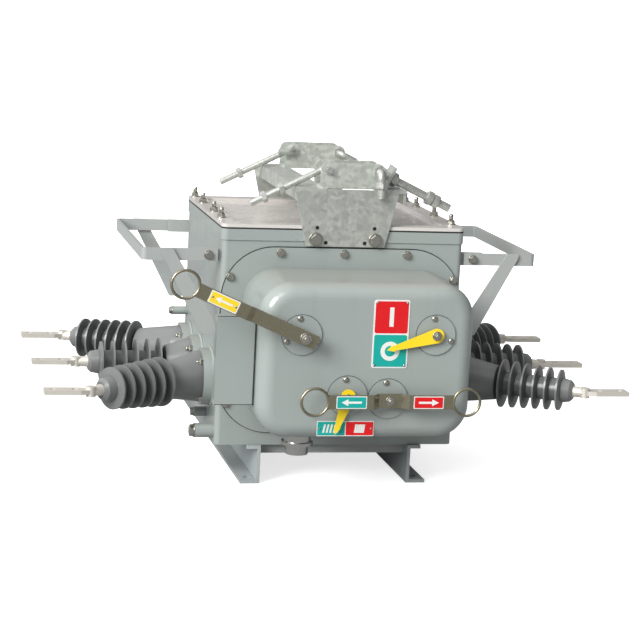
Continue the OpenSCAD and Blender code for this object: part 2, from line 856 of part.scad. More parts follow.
tank();
lid_gasket();
lid();
mechanism_cover();
pivot_plates();
charging_lever();
trip_lever();
position_pointer();
charge_pointer();
side_plate();
left() bushing_seats();  // left_bushing_seats
bushing_seats();  // right_bushing_seats
left() bushing(-1);  // left_front_bushing
left() bushing(0);  // left_middle_bushing
left() bushing(1);  // left_back_bushing
bushing(-1);  // right_front_bushing
bushing(0);  // right_middle_bushing
bushing(1);  // right_back_bushing
left() terminal(-1);  // left_front_terminal
left() terminal(0);  // left_middle_terminal
left() terminal(1);  // left_back_terminal
terminal(-1);  // right_front_terminal
terminal(0);  // right_middle_terminal
terminal(1);  // right_back_terminal
front_hanger_plate();
back_hanger_plate();
on_frame() left() hanger_rail();  // left_hanger_rail
on_frame() hanger_rail();  // right_hanger_rail
on_frame() front_channel();
on_frame() back_channel();
on_frame() left() hook_bolt(-channel_y, hook_r, hook_len, 10, 0, 0);  // front_left_hook_bolt
on_frame() hook_bolt(-channel_y, stout_hook_r, stout_hook_len, 14, stout_end, 86);  // front_right_hook_bolt
on_frame() left() hook_bolt(channel_y, hook_r, hook_len, 3, back_left_end, 0);  // back_left_hook_bolt
on_frame() hook_bolt(channel_y, hook_r, hook_len, 3, back_right_end, 25);  // back_right_hook_bolt
left() handle();  // left_handle
handle();  // right_handle
handle_lugs();
handle_braces();
left() foot();  // left_foot
foot();  // right_foot
cross_bars();
cable_gland();
earth_bosses();
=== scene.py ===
"""Looks of the outdoor vacuum circuit breaker: finishes, fasteners, signs, camera and light.

Lengths are in millimetres in the part's own frame, except where metres are named. The front
faces -Y and the floor is at Z 0. Meshes are scaled to metres when they are made.
"""

import logging
import math
from dataclasses import dataclass, field
from enum import Enum
from typing import Dict, Iterable, List, Mapping, Optional, Sequence, Tuple, Union

import bpy
from mathutils import Matrix, Vector


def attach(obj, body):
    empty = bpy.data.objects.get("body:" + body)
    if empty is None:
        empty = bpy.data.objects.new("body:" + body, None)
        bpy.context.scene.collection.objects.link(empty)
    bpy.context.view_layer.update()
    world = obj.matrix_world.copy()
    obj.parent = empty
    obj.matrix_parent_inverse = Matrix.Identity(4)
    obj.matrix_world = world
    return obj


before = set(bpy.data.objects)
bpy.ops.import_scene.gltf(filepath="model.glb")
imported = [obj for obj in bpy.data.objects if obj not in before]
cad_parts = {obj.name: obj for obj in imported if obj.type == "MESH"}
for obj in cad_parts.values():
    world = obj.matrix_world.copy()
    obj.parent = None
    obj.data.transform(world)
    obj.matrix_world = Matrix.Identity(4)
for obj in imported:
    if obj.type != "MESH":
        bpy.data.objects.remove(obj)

LOG = logging.getLogger("breaker")
MM = 0.001
ROOT = "body"

Spot = Tuple[float, float]
Point = Tuple[float, float, float]
Colour = Tuple[float, float, float]
Face = Tuple[Sequence[int], bool]
Four = Tuple[float, float, float, float]

EVEN: Point = (1.0, 1.0, 1.0)
SIDES = (-1, 1)
UPRIGHT = 0.999  # Upward part from which an axis counts as upright.


def srgb(*display: int) -> Colour:
    """Turns red, green and blue from 0 to 255 into linear light, by the curve of sRGB."""
    parts = (value / 255.0 for value in display)
    return tuple(p / 12.92 if p <= 0.04045 else ((p + 0.055) / 1.055) ** 2.4 for p in parts)


class Axis(Enum):
    """The way in which a fastener points out of its face."""

    LEFT = (-1.0, 0.0, 0.0)
    RIGHT = (1.0, 0.0, 0.0)
    FRONT = (0.0, -1.0, 0.0)
    BACK = (0.0, 1.0, 0.0)
    UP = (0.0, 0.0, 1.0)
    DOWN = (0.0, 0.0, -1.0)


class Glyph(Enum):
    """Plain marks that a sign may carry."""

    CLOSED = "I"
    OPEN = "O"
    ARROW_LEFT = "<"
    ARROW_RIGHT = ">"
    SPRING_SLACK = "slack"
    SPRING_TIGHT = "tight"


# Shading


class Sock:
    """One value in a node tree, with arithmetic that adds maths nodes.

    Args:
        tree: The tree that the value belongs to.
        out: The output socket that gives the value.
    """

    def __init__(self, tree: "Tree", out: bpy.types.NodeSocket) -> None:
        """Wraps an output socket."""
        self.tree = tree
        self.out = out

    def _with(self, kind: str, first: "Value", second: "Value") -> "Sock":
        """Adds one maths node."""
        return self.tree.node("ShaderNodeMath", {"operation": kind}, {0: first, 1: second})

    def __add__(self, other: "Value") -> "Sock":
        """Adds a value."""
        return self._with("ADD", self, other)

    def __radd__(self, other: "Value") -> "Sock":
        """Adds this to a plain value."""
        return self._with("ADD", other, self)

    def __sub__(self, other: "Value") -> "Sock":
        """Takes a value away."""
        return self._with("SUBTRACT", self, other)

    def __rsub__(self, other: "Value") -> "Sock":
        """Takes this away from a plain value."""
        return self._with("SUBTRACT", other, self)

    def __mul__(self, other: "Value") -> "Sock":
        """Multiplies by a value."""
        return self._with("MULTIPLY", self, other)

    def __rmul__(self, other: "Value") -> "Sock":
        """Multiplies a plain value by this."""
        return self._with("MULTIPLY", other, self)

    def step(self, low: float, high: float) -> "Sock":
        """Maps the value smoothly from low..high to 0..1.

        Args:
            low: The value that gives 0.
            high: The value that gives 1.

        Returns:
            The mapped value.
        """
        return self.tree.node(
            "ShaderNodeMapRange",
            {"interpolation_type": "SMOOTHSTEP"},
            {"Value": self, "From Min": low, "From Max": high},
        )


Value = Union[Sock, float, int, Sequence[float]]


class Tree:
    """A node tree under construction, for a material or the world.

    Args:
        tree: The node tree, which is emptied.
        end: The type of its output node.
    """

    def __init__(self, tree: bpy.types.NodeTree, end: str) -> None:
        """Empties the tree and adds its output."""
        self.tree = tree
        self.tree.nodes.clear()
        self.end = self.tree.nodes.new(end)

    def feed(self, socket: bpy.types.NodeSocket, value: Value) -> None:
        """Links a value to an input socket, or sets it there.

        Args:
            socket: The input socket.
            value: A value of this tree, a number or a colour.
        """
        if isinstance(value, Sock):
            self.tree.links.new(value.out, socket)
        elif isinstance(value, (int, float)):
            socket.default_value = float(value)
        elif len(value) == 3 and socket.type == "RGBA":
            socket.default_value = (*value, 1.0)
        else:
            socket.default_value = tuple(value)

    def node(
        self,
        kind: str,
        settings: Optional[Mapping[str, object]] = None,
        sockets: Optional[Mapping[Union[str, int], Value]] = None,
        out: Union[str, int] = 0,
    ) -> Sock:
        """Adds any node.

        Args:
            kind: The node's type.
            settings: Its properties.
            sockets: What goes into its inputs, by name or number.
            out: The output that is wanted.

        Returns:
            That output.
        """
        made = self.tree.nodes.new(kind)
        for key, value in (settings or {}).items():
            setattr(made, key, value)
        for key, value in (sockets or {}).items():
            self.feed(made.inputs[key], value)
        return Sock(self, made.outputs[out])

    def split(self, vector: Sock, part: str) -> Sock:
        """Takes the X, Y or Z part of a vector."""
        return self.node("ShaderNodeSeparateXYZ", sockets={0: vector}, out=part)

    def ray(self, kind: str) -> Sock:
        """Tells whether a ray is of one kind, such as Is Camera Ray."""
        return self.node("ShaderNodeLightPath", out=kind)

    def blend(self, share: Sock, first: Sock, second: Sock) -> Sock:
        """Mixes two surfaces, from all of the first at 0 to all of the second at 1."""
        return self.node("ShaderNodeMixShader", sockets={0: share, 1: first, 2: second})

    def show(self, surface: Sock) -> None:
        """Makes a surface the result of the tree."""
        self.feed(self.end.inputs["Surface"], surface)


@dataclass(frozen=True)
class Pattern:
    """Soft noise over a piece."""

    scale: float  # Cells a metre.
    detail: float  # Number of finer layers.
    span: Optional[Spot] = None  # Noise values that become 0 and 1.
    stretch: Point = EVEN
    weight: float = 0.55  # Of the finer layers.


class Shader(Tree):
    """A material under construction, with its principled surface.

    Args:
        name: The name of the material.
    """

    CORNER_SHADE_SAMPLES = 2

    def __init__(self, name: str) -> None:
        """Makes the material and shows its surface."""
        self.material = bpy.data.materials.new(name)
        self.material.use_nodes = True
        super().__init__(self.material.node_tree, "ShaderNodeOutputMaterial")
        self.surface = self.tree.nodes.new("ShaderNodeBsdfPrincipled")
        self.plain = Sock(self, self.surface.outputs["BSDF"])
        self.show(self.plain)

    def place(self) -> Sock:
        """Gives the place in the piece's own frame, which moves along with its body."""
        return self.node("ShaderNodeTexCoord", out="Object")

    def noise(self, kind: Pattern) -> Sock:
        """Spreads a pattern over the piece.

        Args:
            kind: The pattern.

        Returns:
            Its value, about 0.5 if it has no span.
        """
        where = self.node(
            "ShaderNodeMapping",
            {"vector_type": "POINT"},
            {"Vector": self.place(), "Scale": kind.stretch},
        )
        sockets = {"Scale": kind.scale, "Detail": kind.detail, "Roughness": kind.weight}
        made = self.node("ShaderNodeTexNoise", sockets={"Vector": where, **sockets})
        return made.step(*kind.span) if kind.span else made

    def layers(self, base: Colour, layers: Iterable[Tuple[Sock, Colour]]) -> Sock:
        """Lays colours over each other.

        Args:
            base: The lowest colour.
            layers: How much of each next colour shows, from 0 to 1, and the colour.

        Returns:
            The colour that results.
        """
        shade: Value = base
        kind = {"data_type": "RGBA", "clamp_factor": True}
        for share, tone in layers:
            shade = self.node("ShaderNodeMix", kind, {0: share, 6: shade, 7: tone}, out=2)
        return shade

    def upward(self, span: Spot) -> Sock:
        """Finds faces that look up, by the upward parts of the normal that give 0 and 1."""
        return self.split(self.node("ShaderNodeNewGeometry", out="Normal"), "Z").step(*span)

    def corner_shade(self, reach: float, span: Spot) -> Sock:
        """Finds corners within a reach for painted shade, by the shares of the view shut in that
        give 0 and 1.
        """
        samples, distance = {"samples": self.CORNER_SHADE_SAMPLES}, {"Distance": reach * MM}
        return (1.0 - self.node("ShaderNodeAmbientOcclusion", samples, distance, "AO")).step(*span)

    def bump(self, height: Sock, strength: float, depth: float) -> None:
        """Roughens the surface by a height from 0 to 1, where 1 is the depth."""
        sockets = {"Strength": strength, "Distance": depth * MM, "Height": height}
        self.set(Normal=self.node("ShaderNodeBump", sockets=sockets))

    def set(self, **values: Value) -> None:
        """Feeds inputs of the surface. Spaces in their names are written as _."""
        for key, value in values.items():
            self.feed(self.surface.inputs[key.replace("_", " ")], value)


@dataclass(frozen=True)
class Coating:
    """What every finish has."""

    name: str
    tone: Colour
    slot: Optional[str] = None  # The record's slot of its pieces.

    def make(self) -> bpy.types.Material:
        """Makes the finish.

        Returns:
            Its material.
        """
        made = Shader(self.name)
        self.cover(made)
        return made.material

    def cover(self, made: Shader) -> None:
        """Sets up the surface, which each kind of finish does in its own way."""
        raise NotImplementedError

    def shade(self, share: float, lift: float = 0.0) -> Colour:
        """Gives a darker or paler form of the tone."""
        return tuple(min(1.0, part * share + lift) for part in self.tone)

    def tint(self, filters: Colour) -> Colour:
        """Gives the tone as seen through a coloured filter."""
        return tuple(part * share for part, share in zip(self.tone, filters))


@dataclass(frozen=True)
class Paint(Coating):
    """Sprayed gloss paint on sheet steel, with dust on top and painted shade in the corners."""

    slot: Optional[str] = "grey_paint"
    rough: float = 0.36
    coat: float = 0.8
    dust: float = 0.8  # On faces that look up.
    grime: float = 0.24

    CLOUD = Pattern(7.0, 4.0, (0.42, 0.72))
    STREAK = Pattern(26.0, 3.0, (0.52, 0.75), (1.0, 1.0, 0.12))
    SPECK = Pattern(420.0, 2.0, (0.66, 0.74))
    PEEL = Pattern(260.0, 1.0)
    LEVEL = (0.55, 0.98)  # Upward parts of the normal where dust begins and is full.
    CORNER = (40.0, (0.3, 0.95))  # Reach and span of the painted corner shade.
    WARM = (1.02, 0.96, 0.86)
    DUSTY = (0.96, 0.88, 0.82)
    DARK = 0.62
    CORNER_SHADE_LEVEL = 0.4
    SHARES = {"streak": 0.7, "speck": 0.8, "corner_shade": 0.75}
    ROUGHS = {"cloud": 0.12, "dust": 0.2}
    DULLING = 0.6

    def cover(self, made: Shader) -> None:
        """Lays clouds, streaks, specks, dust and painted corner shade over the paint.

        Args:
            made: The material under construction.
        """
        cloud = made.noise(self.CLOUD)
        top = made.upward(self.LEVEL)
        # Painted shade: ambient occlusion darkens the paint in corners and between parts.
        corner_shade = made.corner_shade(*self.CORNER)
        dark = self.shade(self.DARK)
        layers = (
            (self.grime * cloud, self.tint(self.WARM)),
            (self.grime * self.SHARES["streak"] * made.noise(self.STREAK), dark),
            (self.grime * self.SHARES["speck"] * made.noise(self.SPECK), dark),
            (self.dust * top, self.tint(self.DUSTY)),
            (self.SHARES["corner_shade"] * corner_shade, self.shade(self.CORNER_SHADE_LEVEL)),
        )
        made.bump(made.noise(self.PEEL), strength=0.1, depth=0.25)
        dusted = self.dust * self.ROUGHS["dust"] * top
        made.set(
            Base_Color=made.layers(self.tone, layers),
            Roughness=self.rough + self.ROUGHS["cloud"] * cloud + dusted,
            Coat_Weight=self.coat - self.coat * self.DULLING * top,
            Coat_Roughness=0.05,
            Specular_IOR_Level=0.5,
        )


@dataclass(frozen=True)
class Galvanised(Coating):
    """Hot-dip zinc with spangle, runs and white bloom."""

    slot: Optional[str] = "galvanised"
    spangle: float = 150.0  # Crystals a metre.
    rough: float = 0.46

    WOBBLE = Pattern(60.0, 2.0)
    CLOUD = Pattern(18.0, 5.0, (0.35, 0.7))
    RUN = Pattern(40.0, 3.0, (0.5, 0.78), (1.0, 1.0, 0.2))
    LIGHT = 1.28
    DARK = 0.66
    DULL = 0.8
    FLOOR = 0.12
    SHARES = {"grain": 0.28, "cloud": 0.42, "run": 0.3, "relief": 0.4}
    ROUGHS = {"grain": 0.16, "cloud": -0.08}
    METAL = (0.62, 0.2)  # Share of bare metal, and what the bloom adds.

    def cover(self, made: Shader) -> None:
        """Grows crystals and lays bloom and runs over them.

        Args:
            made: The material under construction.
        """
        sockets = {"Vector": made.place(), "Scale": self.spangle}
        cell = made.node("ShaderNodeTexVoronoi", {"feature": "F1"}, sockets, "Color")
        grain = made.split(cell, "X")
        cloud = made.noise(self.CLOUD)
        share = self.SHARES
        layers = (
            (share["grain"] * grain + share["cloud"] * cloud + self.FLOOR, self.shade(self.LIGHT)),
            (share["run"] * made.noise(self.RUN), self.shade(self.DULL)),
        )
        relief = share["relief"] * grain + made.noise(self.WOBBLE)
        made.bump(relief, strength=0.25, depth=0.35)
        bare, bloom = self.METAL
        made.set(
            Base_Color=made.layers(self.shade(self.DARK), layers),
            Metallic=bare + bloom * cloud,
            Roughness=self.rough + self.ROUGHS["grain"] * grain + self.ROUGHS["cloud"] * cloud,
        )


@dataclass(frozen=True)
class Bright(Coating):
    """Bare bright metal with a drawn grain: stainless steel, tinned copper or zinc plate."""

    rough: float = 0.3
    along: Point = (0.06, 1.0, 1.0)  # Stretch of the grain.
    stain: float = 0.25
    stained: Colour = (0.2, 0.17, 0.12)
    metal: float = 0.92

    GRAIN = (900.0, 2.0)
    PATCH = Pattern(32.0, 4.0, (0.5, 0.78))
    DARK = 0.74
    GRAINED = 0.45
    ROUGHS = {"grain": 0.16, "patch": 0.1}
    DULLING = 0.2

    def cover(self, made: Shader) -> None:
        """Draws the grain and stains it.

        Args:
            made: The material under construction.
        """
        grain = made.noise(Pattern(*self.GRAIN, stretch=self.along))
        patch = made.noise(self.PATCH)
        layers = (
            (self.GRAINED * grain, self.shade(self.DARK)),
            (self.stain * patch, self.stained),
        )
        made.bump(grain, strength=0.12, depth=0.08)
        made.set(
            Base_Color=made.layers(self.tone, layers),
            Metallic=self.metal - self.DULLING * patch,
            Roughness=self.rough + self.ROUGHS["grain"] * grain + self.ROUGHS["patch"] * patch,
        )


@dataclass(frozen=True)
class Silicone(Coating):
    """Moulded silicone rubber with a bloom of dust on its upper faces."""

    slot: Optional[str] = "silicone"
    rough: float = 0.33

    CLOUD = Pattern(24.0, 4.0, (0.38, 0.72))
    SPECK = Pattern(320.0, 2.0, (0.6, 0.72))
    PEEL = Pattern(180.0, 2.0)
    LEVEL = (0.1, 0.95)
    CORNER = (30.0, (0.2, 0.75))
    PALE = (1.5, 0.02)  # Share and lift of the dust's shade.
    DARK = 0.8
    CORNER_SHADE_LEVEL = 0.25
    SHARES = {"cloud": 0.22, "top": 0.35, "speck": 0.12, "corner_shade": 0.85}
    ROUGHS = {"cloud": 0.12, "top": 0.08}

    def cover(self, made: Shader) -> None:
        """Lays clouds, dust and painted shade between the sheds over the rubber.

        Args:
            made: The material under construction.
        """
        cloud = made.noise(self.CLOUD)
        top = made.upward(self.LEVEL)
        share = self.SHARES
        dust = share["top"] * top + share["speck"] * made.noise(self.SPECK)
        layers = (
            (share["cloud"] * cloud, self.shade(self.DARK)),
            (dust, self.shade(*self.PALE)),
            # Painted shade: ambient occlusion darkens the rubber between the sheds.
            (share["corner_shade"] * made.corner_shade(*self.CORNER), self.shade(self.CORNER_SHADE_LEVEL)),
        )
        made.bump(made.noise(self.PEEL), strength=0.15, depth=0.3)
        made.set(
            Base_Color=made.layers(self.tone, layers),
            Roughness=self.rough + self.ROUGHS["cloud"] * cloud + self.ROUGHS["top"] * top,
            Specular_IOR_Level=0.5,
            Coat_Weight=0.4,
            Coat_Roughness=0.22,
        )


@dataclass(frozen=True)
class Flat(Coating):
    """A plain finish with a little wear: sign enamel, ink, rubber, painted shadow lines or the
    painted shade of a recess.
    """

    rough: float = 0.4
    wear: float = 0.12
    coat: float = 0.0

    PATCH = Pattern(70.0, 4.0, (0.45, 0.75))
    SPECK = Pattern(500.0, 2.0, (0.6, 0.72))
    PEEL = Pattern(350.0, 1.0)
    PALE = (0.9, 0.08)  # Share and lift of the worn shade.
    SPECKED = 0.6
    PATCHED = 0.12

    def cover(self, made: Shader) -> None:
        """Wears the finish in patches and specks.

        Args:
            made: The material under construction.
        """
        patch = made.noise(self.PATCH)
        worn = self.wear * patch + self.wear * self.SPECKED * made.noise(self.SPECK)
        made.bump(made.noise(self.PEEL), strength=0.06, depth=0.2)
        made.set(
            Base_Color=made.layers(self.tone, ((worn, self.shade(*self.PALE)),)),
            Roughness=self.rough + self.PATCHED * patch,
            Coat_Weight=self.coat,
            Coat_Roughness=0.1,
        )


THIN = {"rough": 0.4, "coat": 0.2, "dust": 0.3, "grime": 0.26}
ENAMEL = {"rough": 0.45, "wear": 0.03, "coat": 0.1}


class Finish(Enum):
    """The finishes of the object."""

    PAINT = Paint("tank_paint", srgb(158, 167, 165))
    PAINT_FRAME = Paint("frame_paint", srgb(170, 175, 174), **THIN)
    # Painted light: the tank's grey paint, made paler on the feet for the light they catch.
    PAINT_FOOT = Paint("lit_foot_paint", srgb(176, 184, 186), **THIN)
    # Painted light: the tank's grey paint, made paler and warmer on the lid for the light and
    # reflection on its top.
    LID = Paint("lit_lid_paint", srgb(218, 214, 211), rough=0.2, coat=0.7, dust=0.1, grime=0.22)
    ZINC = Galvanised("galvanised_zinc", srgb(204, 208, 202))
    ZINC_CHANNEL = Galvanised("galvanised_channel", srgb(222, 227, 220))
    ZINC_ROD = Galvanised("galvanised_rod", srgb(202, 204, 199), spangle=320.0, rough=0.4)
    SILICONE = Silicone("silicone_rubber", srgb(116, 118, 118))
    TIN = Bright(
        "tinned_copper", srgb(236, 231, 222), "tinned",
        rough=0.4, stain=0.2, stained=srgb(150, 140, 118), metal=0.6,
    )
    STEEL = Bright(
        "stainless_steel", srgb(166, 160, 138), "stainless",
        rough=0.2, stain=0.55, stained=srgb(112, 100, 74),
    )
    BOLT = Bright(
        "zinc_plated_bolt", srgb(184, 182, 174), "galvanised",
        rough=0.16, along=EVEN, stain=0.3, stained=srgb(110, 98, 80),
    )
    CHROME = Bright(
        "chromed_gland", srgb(205, 205, 202), "stainless",
        rough=0.06, along=EVEN, stain=0.1, metal=1.0,
    )
    YELLOW = Flat(
        "pointer_paint", srgb(255, 222, 30), "yellow_paint", rough=0.35, wear=0.1, coat=0.3
    )
    # Also the colour of the painted shadow lines round the cover's plates and flange.
    RUBBER = Flat("black_gasket_and_shadow", srgb(38, 40, 40), "gasket_rubber", rough=0.7, wear=0.3)
    LABEL_YELLOW = Flat("yellow_label", srgb(246, 214, 40), rough=0.42)
    RED = Flat("red_enamel", srgb(222, 8, 20), **ENAMEL)
    TEAL = Flat("teal_enamel", srgb(0, 170, 160), **ENAMEL)
    WHITE = Flat("white_enamel", srgb(236, 238, 236), rough=0.35, wear=0.05, coat=0.2)
    # Painted shade: stands for the dark inside of the frame's spare holes.
    DARK = Flat("shaded_recess", srgb(30, 30, 28), rough=0.9, wear=0.1)

    def material(self) -> bpy.types.Material:
        """Gives the finish's material, which is made at its first use."""
        kept = bpy.data.materials.get(self.value.name)
        return kept if kept else self.value.make()

    @property
    def slot(self) -> Optional[str]:
        """The record's slot of the pieces of this finish, if any."""
        return self.value.slot


# Outlines and meshes


def circle(radius: float, sides: int, turn: float = 0.0) -> List[Spot]:
    """Draws a circle, counterclockwise, with its first corner turned by some degrees."""
    angles = (math.radians(turn) + 2 * math.pi * i / sides for i in range(sides))
    return [(radius * math.cos(angle), radius * math.sin(angle)) for angle in angles]


def box(left: float, right: float, low: float, high: float) -> List[Spot]:
    """Draws a rectangle from its four edges, counterclockwise."""
    return [(left, low), (right, low), (right, high), (left, high)]


def rounded(wide: float, high: float, corner: float, steps: int = 12) -> List[Spot]:
    """Draws a rectangle with round corners about the origin.

    Args:
        wide: Its width.
        high: Its height.
        corner: Radius of its corners.
        steps: Sides of a corner.

    Returns:
        Its corners, counterclockwise.
    """
    outline: List[Spot] = []
    for right, top, start in ((1, 1, 0), (-1, 1, 90), (-1, -1, 180), (1, -1, 270)):
        for i in range(steps + 1):
            angle = math.radians(start + 90.0 * i / steps)
            outline.append((
                right * (wide / 2 - corner) + corner * math.cos(angle),
                top * (high / 2 - corner) + corner * math.sin(angle),
            ))
    return outline


def walls(count: int, low: int, high: int, smooth: bool = False) -> List[Face]:
    """Joins two numbered rings of as many corners by four-sided faces."""
    foot, head, sides = low * count, high * count, [(i, (i + 1) % count) for i in range(count)]
    return [((foot + i, foot + j, head + j, head + i), smooth) for i, j in sides]


def facing(at: Point, way: Union[Axis, Sequence[float]], turn: float = 0.0) -> Matrix:
    """Places a piece drawn along +Z.

    Args:
        at: Where its origin goes.
        way: Where its Z points.
        turn: Turn about its own axis in degrees.

    Returns:
        The placing matrix.
    """
    aim = Vector(way.value if isinstance(way, Axis) else way).normalized()
    if abs(aim.z) > UPRIGHT:
        side = Vector(Axis.RIGHT.value)
    else:
        side = Vector(Axis.UP.value).cross(aim).normalized()
    turned = Matrix((side, aim.cross(side), aim)).transposed().to_4x4()
    return Matrix.Translation(Vector(at)) @ turned @ Matrix.Rotation(math.radians(turn), 4, "Z")


@dataclass
class Shape:
    """A mesh that grows piece by piece."""

    points: List[Vector] = field(default_factory=list)
    faces: List[Face] = field(default_factory=list)  # Corner numbers, and whether smooth.

    def add(self, points: Iterable[Point], faces: Iterable[Face], at: Matrix) -> None:
        """Adds corners and faces.

        Args:
            points: New corners.
            faces: New faces, numbered from the first new corner.
            at: Where they go.
        """
        base = len(self.points)
        self.points.extend(at @ Vector(point) for point in points)
        self.faces.extend((tuple(base + i for i in ids), smooth) for ids, smooth in faces)

    def stack(
        self, outline: Sequence[Spot], sides: int, at: Matrix, smooth: bool, turn: float = 0.0
    ) -> None:
        """Adds a body of rings along Z.

        Args:
            outline: Radius and height of each ring, from the foot up.
            sides: Number of sides.
            at: Where it goes.
            smooth: Whether the sides shade smooth.
            turn: Turn of the first corner in degrees.
        """
        points = [(x, y, z) for radius, z in outline for x, y in circle(radius, sides, turn)]
        last = len(outline) - 1
        faces = [face for ring in range(last) for face in walls(sides, ring, ring + 1, smooth)]
        faces.append((tuple(reversed(range(sides))), False))
        faces.append((tuple(range(last * sides, (last + 1) * sides)), False))
        self.add(points, faces, at)

    def prism(self, outline: Sequence[Spot], thick: float, at: Matrix) -> None:
        """Adds a flat plate over an outline in XY.

        Args:
            outline: Corners, counterclockwise.
            thick: Height along Z.
            at: Where it goes.
        """
        count = len(outline)
        points = [(x, y, z) for z in (0.0, thick) for x, y in outline]
        ends = [(tuple(reversed(range(count))), False), (tuple(range(count, 2 * count)), False)]
        self.add(points, ends + walls(count, 0, 1), at)

    def band(
        self, inner: Sequence[Spot], outer: Sequence[Spot], thick: float, at: Matrix,
        smooth: bool = False,
    ) -> None:
        """Adds a flat band between two outlines in XY with as many corners.

        Args:
            inner: Inner outline, counterclockwise.
            outer: Outer outline, counterclockwise.
            thick: Height along Z.
            at: Where it goes.
            smooth: Whether its inner and outer walls shade smooth.
        """
        rings = ((inner, 0.0), (outer, 0.0), (outer, thick), (inner, thick))
        points = [(x, y, z) for outline, z in rings for x, y in outline]
        faces: List[Face] = []
        for ring in range(len(rings)):
            upright = ring % 2 == 1
            faces += walls(len(inner), ring, (ring + 1) % len(rings), smooth and upright)
        self.add(points, faces, at)

    def build(self, name: str, finish: Finish, body: str = ROOT) -> bpy.types.Object:
        """Makes the object and lets it ride on its body.

        Args:
            name: Name of the object.
            finish: Its finish.
            body: The body that it moves with.

        Returns:
            The object.
        """
        mesh = bpy.data.meshes.new(name)
        corners = [tuple(point * MM) for point in self.points]
        mesh.from_pydata(corners, [], [ids for ids, _ in self.faces])
        for face, (_, smooth) in zip(mesh.polygons, self.faces):
            face.use_smooth = smooth
        mesh.materials.append(finish.material())
        made = bpy.data.objects.new(name, mesh)
        bpy.context.scene.collection.objects.link(made)
        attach(made, body)
        LOG.info("made %s on %s", name, body)
        if finish.slot:
            finish.slot
        return made


# Fasteners

HEX_SHOULDER: Spot = (1.0, 0.82)  # Where a hexagon's chamfer starts, in its radius and height.
HEX_TOP: Spot = (0.86, 1.0)
SCREW_HEAD: Tuple[Spot, ...] = ((1.0, 0.0), (1.0, 0.25), (0.85, 0.5), (0.5, 0.68))
SCREW_SIDES = 20


def hexagon(shape: Shape, at: Matrix, flats: float, thick: float) -> None:
    """Adds a hexagon with a chamfered top.

    Args:
        shape: The mesh that it goes into.
        at: Where it goes.
        flats: Width across the flats.
        thick: Its height.
    """
    corner = flats / math.sqrt(3)
    rings = [(corner * out, thick * up) for out, up in ((1.0, 0.0), HEX_SHOULDER, HEX_TOP)]
    shape.stack(rings, 6, at, False, 30.0)


def screw(shape: Shape, at: Matrix, radius: float) -> None:
    """Adds the round head of a screw or rivet to a mesh."""
    rings = [(out * radius, up * radius) for out, up in SCREW_HEAD]
    shape.stack(rings, SCREW_SIDES, at, True)


@dataclass(frozen=True)
class Bolt:
    """A hexagon bolt or nut with its washer."""

    thread: float
    head: float = 0.65  # In thread diameters.
    stud: float = 0.0  # How far the thread stands out.
    washer: bool = True

    FLATS = 1.6
    WASHER = (1.05, 0.2, 1.0)  # Radius, thickness and upper radius, in thread diameters.
    WASHER_SIDES = 24
    EDGE = 0.8
    SUNK = 0.5
    CHAMFER = 1.0
    STUD_SIDES = 20

    def add(self, shape: Shape, at: Matrix) -> None:
        """Adds it to a mesh.

        Args:
            shape: The mesh.
            at: Where its seat is.
        """
        lift = 0.0
        if self.washer:
            wide, lift, upper = (share * self.thread for share in self.WASHER)
            rings = [(wide, 0.0), (wide, lift * self.EDGE), (upper, lift)]
            shape.stack(rings, self.WASHER_SIDES, at, True)
        seat = at @ Matrix.Translation((0.0, 0.0, lift))
        hexagon(shape, seat, self.FLATS * self.thread, self.head * self.thread)
        if self.stud > 0:
            radius, top = self.thread / 2, lift + self.head * self.thread
            tip = top + self.stud
            rings = [(radius, top - self.SUNK), (radius, tip - self.CHAMFER)]
            shape.stack([*rings, (radius - self.CHAMFER, tip)], self.STUD_SIDES, at, True)


# Sub-assemblies


class Dress:
    """A sub-assembly, which gives its CAD pieces their finish."""

    PIECES: Mapping[Finish, Sequence[str]] = {}

    def dress(self) -> None:
        """Sets the finish of every piece."""
        for finish, names in self.PIECES.items():
            for name in names:
                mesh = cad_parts[name].data
                mesh.materials.clear()
                mesh.materials.append(finish.material())

    def build(self) -> None:
        """Adds what the CAD leaves out, which each sub-assembly does in its own way."""
        raise NotImplementedError


@dataclass
class Tank(Dress):
    """The tank, its lid, handles and feet."""

    PIECES = {
        Finish.PAINT: ("tank", "earth_bosses"),
        Finish.PAINT_FRAME: (
            "left_handle", "right_handle", "handle_lugs", "handle_braces", "cross_bars"
        ),
        Finish.PAINT_FOOT: ("left_foot", "right_foot"),
        Finish.LID: ("lid",),
        Finish.RUBBER: ("lid_gasket",),
    }

    lid_z: float = 476.0
    stud_x: float = 213.0
    left_studs: Tuple[float, ...] = (-119.5, -35.5, 90.5, 187.5)
    right_studs: Tuple[float, ...] = (-147.5, -29.5, 103.5, 187.5)
    stud: Bolt = Bolt(8.0, head=0.8, stud=11.0)
    stud_turn: float = 17.0
    lug: Point = (246.0, 192.5, 418.0)  # From the centre line, the middle and the floor.
    lug_bolt: Bolt = Bolt(8.0)
    lug_turn: float = 10.0
    wall_x: float = -223.0
    earths: Tuple[Four, ...] = (  # Y, height, reach and thread of each.
        (-178.0, 93.0, 34.0, 12.0), (-90.0, 108.0, 22.0, 8.0), (165.0, 253.0, 30.0, 8.0),
    )
    earth_head: float = 0.6
    earth_turn: float = 14.0

    def build(self) -> None:
        """Adds studs, handle bolts and earth bolts."""
        studs, lugs, earth = Shape(), Shape(), Shape()
        for x, row in ((-self.stud_x, self.left_studs), (self.stud_x, self.right_studs)):
            for i, y in enumerate(row):
                self.stud.add(studs, facing((x, y, self.lid_z), Axis.UP, self.stud_turn * i))
        studs.build("lid_studs", Finish.BOLT)
        x, y, z = self.lug
        for side in SIDES:
            for end, way in zip(SIDES, (Axis.FRONT, Axis.BACK)):
                self.lug_bolt.add(lugs, facing((side * x, end * y, z), way, self.lug_turn))
        lugs.build("handle_bolts", Finish.BOLT)
        for i, (y, z, reach, thread) in enumerate(self.earths):
            at = facing((self.wall_x - reach, y, z), Axis.LEFT, self.earth_turn * i)
            Bolt(thread, self.earth_head).add(earth, at)
        earth.build("earth_bolts", Finish.BOLT)


